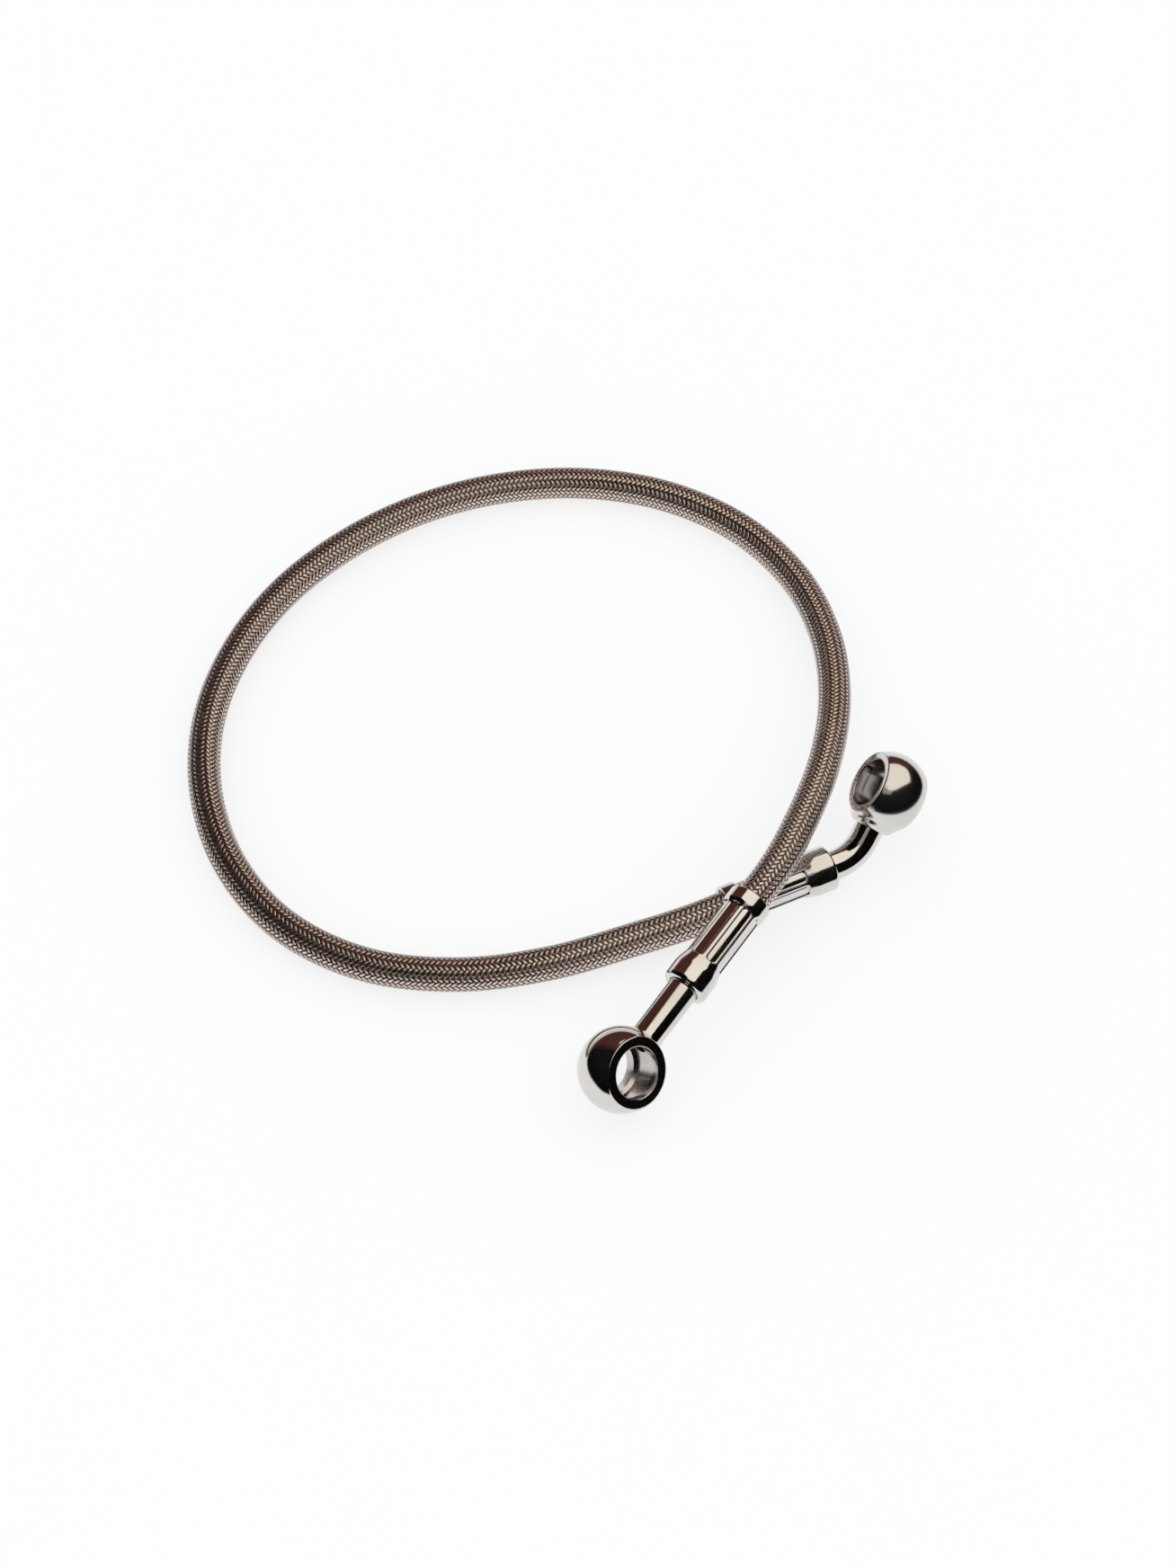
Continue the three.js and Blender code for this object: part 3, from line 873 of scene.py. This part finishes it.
def stem_profile(radius, length):
    """(place, radius) pairs of a stem: barbed tail, flange, groove, tube and its bore back again."""
    outline = [(TAIL_TIP, TAIL_BORE), (TAIL_TIP, TAIL_RADIUS)]
    for barb in range(BARB_COUNT):
        foot = TAIL_TIP + BARB_LEAD + barb * BARB_PITCH
        back = foot + BARB_PITCH / 2
        outline += [(foot, TAIL_RADIUS), (back, BARB_RADIUS), (back, TAIL_RADIUS)]
    outline += [(FLANGE_START, TAIL_RADIUS), (FLANGE_START, FLANGE_RADIUS), (GROOVE_START, FLANGE_RADIUS)]
    outline += [(GROOVE_START, GROOVE_RADIUS), (GROOVE_END, GROOVE_RADIUS), (GROOVE_END, radius)]
    run = np.linspace(GROOVE_END + GROOVE_MARGIN, length - STEM_CHAMFER, STEM_RUN_POINTS)
    outline += [(x, radius) for x in run]
    outline += [(length, radius - STEM_CHAMFER), (length, STEM_BORE)]
    outline += [(x, STEM_BORE) for x in run[::-1]]
    outline += [(FLANGE_START, STEM_BORE), (FLANGE_START, TAIL_BORE)]
    return np.array(outline)


def stem_path(x, bend_angle):
    """Centre and sideways direction at a distance along a stem that is straight, then follows an arc in
    its own XY plane by the bend's angle, and then runs on straight."""
    arc = np.clip((x - BEND_START) / BEND_RADIUS, 0.0, bend_angle)
    before = np.minimum(x, BEND_START)
    after = np.maximum(x - BEND_START - BEND_RADIUS * bend_angle, 0.0)
    centre = np.stack([
        before + BEND_RADIUS * np.sin(arc) + after * np.cos(arc),
        BEND_RADIUS * (1 - np.cos(arc)) + after * np.sin(arc),
        np.zeros_like(x),
    ], axis=-1)
    sideways = np.stack([-np.sin(arc), np.cos(arc), np.zeros_like(x)], axis=-1)
    return centre, sideways


def stem_mesh(name, radius, length, bend_angle, place, sides=64):
    """The stem's profile turned about its path."""
    profile = stem_profile(radius, length)
    centre, sideways = stem_path(profile[:, 0], bend_angle)
    angles = np.arange(sides) / sides * TURN
    points = off_line(centre[:, None], profile[:, 1:], angles, sideways[:, None], UP)
    return make_mesh(name, place(points), grid_faces(len(profile), sides))


class BRAKELINE_OT_stems(bpy.types.Operator):
    """Build the two steel stems"""

    bl_idname = "brakeline.stems"
    bl_label = "Stems"

    def execute(self, context):
        color = context.scene.brake_line_fittings.steel_color
        steel = bright_steel("stem_steel", color, smudge_scale=90.0, roughness=(0.06, 0.11))
        bent_length = BEND_START + BEND_RADIUS * BEND_ANGLE + BENT_REACH - SOCKET_DEPTH
        for word, radius, length, bend_angle, place in (
            ("straight", STRAIGHT_STEM_RADIUS, STRAIGHT_EYE_AT - SOCKET_DEPTH, 0.0, straight_place),
            ("bent", BENT_STEM_RADIUS, bent_length, BEND_ANGLE, bent_place),
        ):
            name = word + "_tube_stem"
            stem = add_piece(name, stem_mesh(name, radius, length, bend_angle, place), steel)
            stand_in_for(stem, word + "_stem")
        return {"FINISHED"}


# Eyes


def eye_profile(ball_radius, edge):
    """(place along the bore, radius) pairs: the ball between its faces, its rounded edges, the faces, the
    bore with its rounded mouths, and the oil groove."""
    half = EYE_HALF_WIDTH
    face_angle = math.asin((half - edge * EDGE_DEPTH) / ball_radius)
    turn = np.linspace(-face_angle + EDGE_MARGIN, face_angle - EDGE_MARGIN, BALL_ROWS)
    ball = np.stack([ball_radius * np.sin(turn), ball_radius * np.cos(turn)], axis=-1)
    rim_place, rim = ball[-1]
    corner = EDGE_TURN[:, None] * math.pi / 2
    ease = np.hstack([
        rim_place + (half - rim_place) * np.sin(corner),
        rim - edge * EDGE_REACH * (1 - np.cos(corner)),
    ])
    inner_edge = np.hstack([
        half - edge * (1 - np.cos(corner)),
        EYE_BORE_RADIUS + edge * (1 - np.sin(corner)),
    ])
    groove = np.array([
        (OIL_GROOVE_HALF, EYE_BORE_RADIUS), (OIL_GROOVE_HALF - OIL_GROOVE_SLOPE, OIL_GROOVE_RADIUS),
    ])
    top = np.vstack([ease, [(half, EYE_BORE_RADIUS + edge)], inner_edge, groove])
    bottom = top[::-1] * (-1, 1)
    return np.vstack([ball, top, bottom])


def neck_swell(points, ball_radius):
    """Pushes the ball's surface out to a short flared neck around the stem: at an angle from the stem's
    axis, the distance from the centre becomes that of a flat collar, and eases back to the ball's. The
    swelling fades out next to the two faces."""
    distance = np.linalg.norm(points, axis=-1)
    from_axis = np.arccos(np.clip(-points[..., 0] / distance, -1, 1))
    collar = NECK_LENGTH / np.cos(np.minimum(from_axis, NECK_WIDEST))
    edge = math.atan(NECK_RADIUS / NECK_LENGTH)
    flare = NECK_LENGTH / math.cos(edge) - ball_radius
    ease = ball_radius + flare * (1 - smooth_step((from_axis - edge) / NECK_EASE))
    wanted = np.where(from_axis < edge, collar, ease)
    outer = distance > ball_radius * BALL_SKIN
    inward = smooth_step((EYE_HALF_WIDTH - np.abs(points[..., 1])) / NECK_FADE)
    scale = np.where(outer, 1.0 + np.maximum(wanted / distance - 1.0, 0.0) * inward, 1.0)
    return points * scale[..., None]


def cut_out(piece, cutter):
    """Cuts the cutter out of the piece, keeps the result as the piece's mesh and removes the cutter."""
    cut = piece.modifiers.new("drill", "BOOLEAN")
    cut.operation = "DIFFERENCE"
    cut.solver = "EXACT"
    cut.object = cutter
    graph = bpy.context.evaluated_depsgraph_get()
    mesh = bpy.data.meshes.new_from_object(piece.evaluated_get(graph))
    piece.modifiers.clear()
    piece.data = mesh
    bpy.data.objects.remove(cutter)


def drill(name, start, end, radius, place, sides):
    """A closed cylinder along X, for drilling."""
    angles = np.arange(sides) / sides * TURN
    ring = np.stack([np.zeros(sides), radius * np.cos(angles), radius * np.sin(angles)], axis=-1)
    points = np.stack([ring + (start, 0, 0), ring + (end, 0, 0)])
    caps = np.stack([np.arange(sides)[::-1], np.arange(sides) + sides])
    mesh = make_mesh(name, place(points), grid_faces(2, sides, close_rows=False), caps)
    cutter = bpy.data.objects.new(name, mesh)
    bpy.context.scene.collection.objects.link(cutter)
    return cutter


def finish_bore(eye, ball_radius, place, bored):
    """Gives the machined finish, whose darker colour is painted shade in the bore, to all faces between the
    two ring faces and well inside the ball.
    """
    centre, beside = place(np.array([(0.0, 0.0, 0.0), (0.0, 1.0, 0.0)]))
    faces = eye.data.polygons
    middles = np.empty(len(faces) * 3)
    faces.foreach_get("center", middles)
    offsets = middles.reshape(-1, 3) - centre
    inside = np.linalg.norm(offsets, axis=1) < ball_radius * BORED_SHARE
    between = np.abs(offsets @ (beside - centre)) < EYE_HALF_WIDTH - BORED_MARGIN
    eye.data.materials.append(bored)
    faces.foreach_set("material_index", (inside & between).astype(np.int32))


def build_eye(name, ball_radius, stem_radius, neck, place, steel, edge):
    """The profile turned about the bore, then drilled for the stem and for the fluid."""
    profile = eye_profile(ball_radius, edge)
    angles = np.arange(EYE_SIDES) / EYE_SIDES * TURN
    y, radius = profile[:, :1] * np.ones(EYE_SIDES), profile[:, 1:]
    points = np.stack([radius * np.cos(angles), y, radius * np.sin(angles)], axis=-1)
    if neck:
        points = neck_swell(points, ball_radius)
    eye = add_piece(name, make_mesh(name, place(points), grid_faces(len(profile), EYE_SIDES)), steel)
    far = -ball_radius - DRILL_OVERRUN
    cross_end = -EYE_BORE_RADIUS + CROSS_HOLE_OVERRUN
    cut_out(eye, drill("socket_drill", far, -SOCKET_FLOOR, stem_radius + STEM_SEAM, place, sides=72))
    cut_out(eye, drill("cross_drill", far, cross_end, CROSS_HOLE_RADIUS, place, sides=40))
    eye.data.name = name
    eye.data.set_sharp_from_angle(angle=math.radians(EYE_SHARP))
    return eye


class BRAKELINE_OT_eyes(bpy.types.Operator):
    """Build the two banjo eyes"""

    bl_idname = "brakeline.eyes"
    bl_label = "Banjo eyes"

    def execute(self, context):
        fittings = context.scene.brake_line_fittings
        steel = bright_steel("eye_steel", fittings.steel_color, smudge_scale=70.0, roughness=(0.09, 0.14))
        # Machined steel for the bores, its colour darkened as painted shade inside them.
        bored = bright_steel("bored_steel_painted_shade", fittings.bore_shaded_color, smudge_scale=200.0, roughness=(0.14, 0.2))

        def straight_eye_place(points):
            return straight_place(points + (STRAIGHT_EYE_AT, 0, 0))

        centre, turn = bent_eye_frame()

        def bent_eye_place(points):
            return bent_place(placed(points, centre, turn))

        for word, ball, stem, neck, place in (
            ("straight", STRAIGHT_BALL_RADIUS, STRAIGHT_STEM_RADIUS, False, straight_eye_place),
            ("bent", BENT_BALL_RADIUS, BENT_STEM_RADIUS, True, bent_eye_place),
        ):
            eye = build_eye(word + "_ball_eye", ball, stem, neck, place, steel, fittings.edge_radius)
            finish_bore(eye, ball, place, bored)
            stand_in_for(eye, word + "_banjo_eye")
        return {"FINISHED"}


class BRAKELINE_OT_lay_hose(bpy.types.Operator):
    bl_idname = "brakeline.lay_hose"
    bl_label = "Lay hose"

    def execute(self, context):
        objects = bpy.data.objects
        carried = [o for o in objects if o.name.startswith("braid_")] + [objects["inner_liner"]]
        carried += [objects["bent_" + part] for part in ("crimped_ferrule", "tube_stem", "ball_eye")]
        return {"FINISHED"}


# Stage


def floor_material(color, glow):
    """Matte paper that glows a little, so the camera sees it near white with the line's soft shadow."""
    material, tree, shader = new_material("paper_floor")
    place = tree.nodes.new("ShaderNodeTexCoord").outputs["Object"]
    noise = tree.nodes.new("ShaderNodeTexNoise")
    noise.inputs["Scale"].default_value = 30.0
    tree.links.new(place, noise.inputs["Vector"])
    tone = node_blend(tree, noise.outputs["Fac"], tuple(color), dimmed(color, 0.99))
    tree.links.new(tone, shader.inputs["Base Color"])
    shader.inputs["Roughness"].default_value = 0.9
    shader.inputs["Specular IOR Level"].default_value = 0.0
    shader.inputs["Emission Color"].default_value = (1.0, 1.0, 1.0, 1.0)
    shader.inputs["Emission Strength"].default_value = glow
    return material


def window_card(name, outline, color):
    """A flat glowing outline overhead that only gloss shows, also through the clear cover."""
    mesh = bpy.data.meshes.new(name)
    cosine, sine = math.cos(CAMERA_AZIMUTH), math.sin(CAMERA_AZIMUTH)
    corners = [(a * cosine - b * sine, a * sine + b * cosine, WINDOW_HEIGHT) for a, b in outline]
    mesh.from_pydata(corners, [], [tuple(range(len(corners)))])
    material = bpy.data.materials.new(name + "_glow")
    material.use_nodes = True
    tree = material.node_tree
    tree.nodes.clear()
    glow = tree.nodes.new("ShaderNodeEmission")
    glow.inputs["Color"].default_value = (*color, 1.0)
    output = tree.nodes.new("ShaderNodeOutputMaterial")
    tree.links.new(glow.outputs["Emission"], output.inputs["Surface"])
    card = add_piece(name, mesh, material)
    for ray in ("camera", "diffuse", "volume_scatter", "shadow"):
        setattr(card, "visible_" + ray, False)


def room_world(stage):
    """What surrounds the line. Bright metal and rays through the clear cover see white paper low down, a
    dark wall on the camera's side and a brown ceiling on the far side. The paper's upper edge rises on
    the far side and a little on the left. The camera and matte surfaces see white."""
    world = bpy.data.worlds.new("room")
    world.use_nodes = True
    tree = world.node_tree
    background = tree.nodes["Background"]
    direction = tree.nodes.new("ShaderNodeTexCoord").outputs["Generated"]
    turned = tree.nodes.new("ShaderNodeVectorRotate")
    turned.rotation_type = "Z_AXIS"
    turned.inputs["Angle"].default_value = -CAMERA_AZIMUTH
    tree.links.new(direction, turned.inputs["Vector"])
    split = tree.nodes.new("ShaderNodeSeparateXYZ")
    tree.links.new(turned.outputs["Vector"], split.inputs["Vector"])
    x, y, z = split.outputs

    aside = node_math(tree, "ABSOLUTE", x)
    far = node_math(tree, "SUBTRACT", y, node_math(tree, "MULTIPLY", aside, CEILING_SLANT))
    ceiling = node_range(tree, far, CEILING_EDGE, (0.0, 1.0), smooth=True)
    dark = node_blend(tree, ceiling, tuple(stage.wall_color), tuple(stage.ceiling_color))
    far_edge = node_range(tree, y, *PAPER_RISE_FAR, smooth=True)
    side_edge = node_range(tree, x, *PAPER_RISE_LEFT, smooth=True)
    above = node_math(tree, "SUBTRACT", node_math(tree, "SUBTRACT", z, far_edge), side_edge)
    paper = node_range(tree, above, PAPER_EDGE, (1.0, 0.0), smooth=True)
    seen = node_blend(tree, paper, dark, tuple(stage.paper_color))

    rays = tree.nodes.new("ShaderNodeLightPath")
    glossy, through = rays.outputs["Is Glossy Ray"], rays.outputs["Is Transmission Ray"]
    color = node_blend(tree, node_math(tree, "MAXIMUM", glossy, through), (1.0, 1.0, 1.0), seen)
    tree.links.new(color, background.inputs["Color"])
    return world


class BRAKELINE_OT_stage(bpy.types.Operator):
    """Build the floor, the surroundings and the camera"""

    bl_idname = "brakeline.stage"
    bl_label = "Stage"

    def execute(self, context):
        stage = context.scene.brake_line_stage
        reach, level = FLOOR_REACH, float(CAD_BOX[0].z) - FLOOR_GAP
        mesh = bpy.data.meshes.new("paper_floor")
        corners = ((-reach, -reach), (reach, -reach), (reach, reach), (-reach, reach))
        mesh.from_pydata([(a, b, level) for a, b in corners], [], [(0, 1, 2, 3)])
        floor = add_piece("paper_floor", mesh, floor_material(stage.floor_color, stage.floor_glow))
        floor.visible_glossy = False
        window_card("window", WINDOW, stage.window_color)
        window_card("sill", SILL, dimmed(stage.window_color, SILL_SHARE))
        context.scene.world = room_world(stage)
        context.scene.view_settings.view_transform = "Standard"

        lens = bpy.data.cameras.new("camera")
        lens.lens = CAMERA_LENS
        lens.sensor_width = 36.0
        lens.clip_start, lens.clip_end = 0.01, 10.0
        camera = bpy.data.objects.new("camera", lens)
        flat = math.cos(CAMERA_ELEVATION)
        back = np.array([
            math.sin(CAMERA_AZIMUTH) * flat,
            -math.cos(CAMERA_AZIMUTH) * flat,
            math.sin(CAMERA_ELEVATION),
        ])
        camera.location = np.array(CAMERA_TARGET) + CAMERA_DISTANCE * back
        camera.rotation_euler = (math.pi / 2 - CAMERA_ELEVATION, 0.0, CAMERA_AZIMUTH)
        context.scene.collection.objects.link(camera)
        context.scene.camera = camera
        return {"FINISHED"}


# Add-on


class BRAKELINE_PT_panel(bpy.types.Panel):
    """Lists the brake line's steps"""

    bl_idname = "BRAKELINE_PT_panel"
    bl_label = "Brake line"
    bl_space_type = "VIEW_3D"
    bl_region_type = "UI"
    bl_category = "Brake line"

    def draw(self, context):
        for step in STEPS:
            self.layout.operator(step.bl_idname)


STEPS = (
    BRAKELINE_OT_stage,
    BRAKELINE_OT_hose_cover,
    BRAKELINE_OT_hose_braid,
    BRAKELINE_OT_hose_liner,
    BRAKELINE_OT_ferrules,
    BRAKELINE_OT_stems,
    BRAKELINE_OT_eyes,
    BRAKELINE_OT_lay_hose,
)
SETTINGS = (
    ("brake_line_hose", BrakeLineHose),
    ("brake_line_fittings", BrakeLineFittings),
    ("brake_line_stage", BrakeLineStage),
)


def register():
    """Registers the settings, the steps and the panel."""
    for label, group in SETTINGS:
        bpy.utils.register_class(group)
        setattr(bpy.types.Scene, label, PointerProperty(type=group))
    for step in (*STEPS, BRAKELINE_PT_panel):
        bpy.utils.register_class(step)


def unregister():
    """Takes away what register added."""
    for step in (*STEPS, BRAKELINE_PT_panel):
        bpy.utils.unregister_class(step)
    for label, group in SETTINGS:
        delattr(bpy.types.Scene, label)
        bpy.utils.unregister_class(group)


def main():
    """Runs every step in order."""
    register()
    bpy.ops.brakeline.stage()
    bpy.ops.brakeline.hose_cover()
    bpy.ops.brakeline.hose_braid()
    bpy.ops.brakeline.hose_liner()
    bpy.ops.brakeline.ferrules()
    bpy.ops.brakeline.stems()
    bpy.ops.brakeline.eyes()
    bpy.ops.brakeline.lay_hose()


if __name__ == "__main__":
    main()
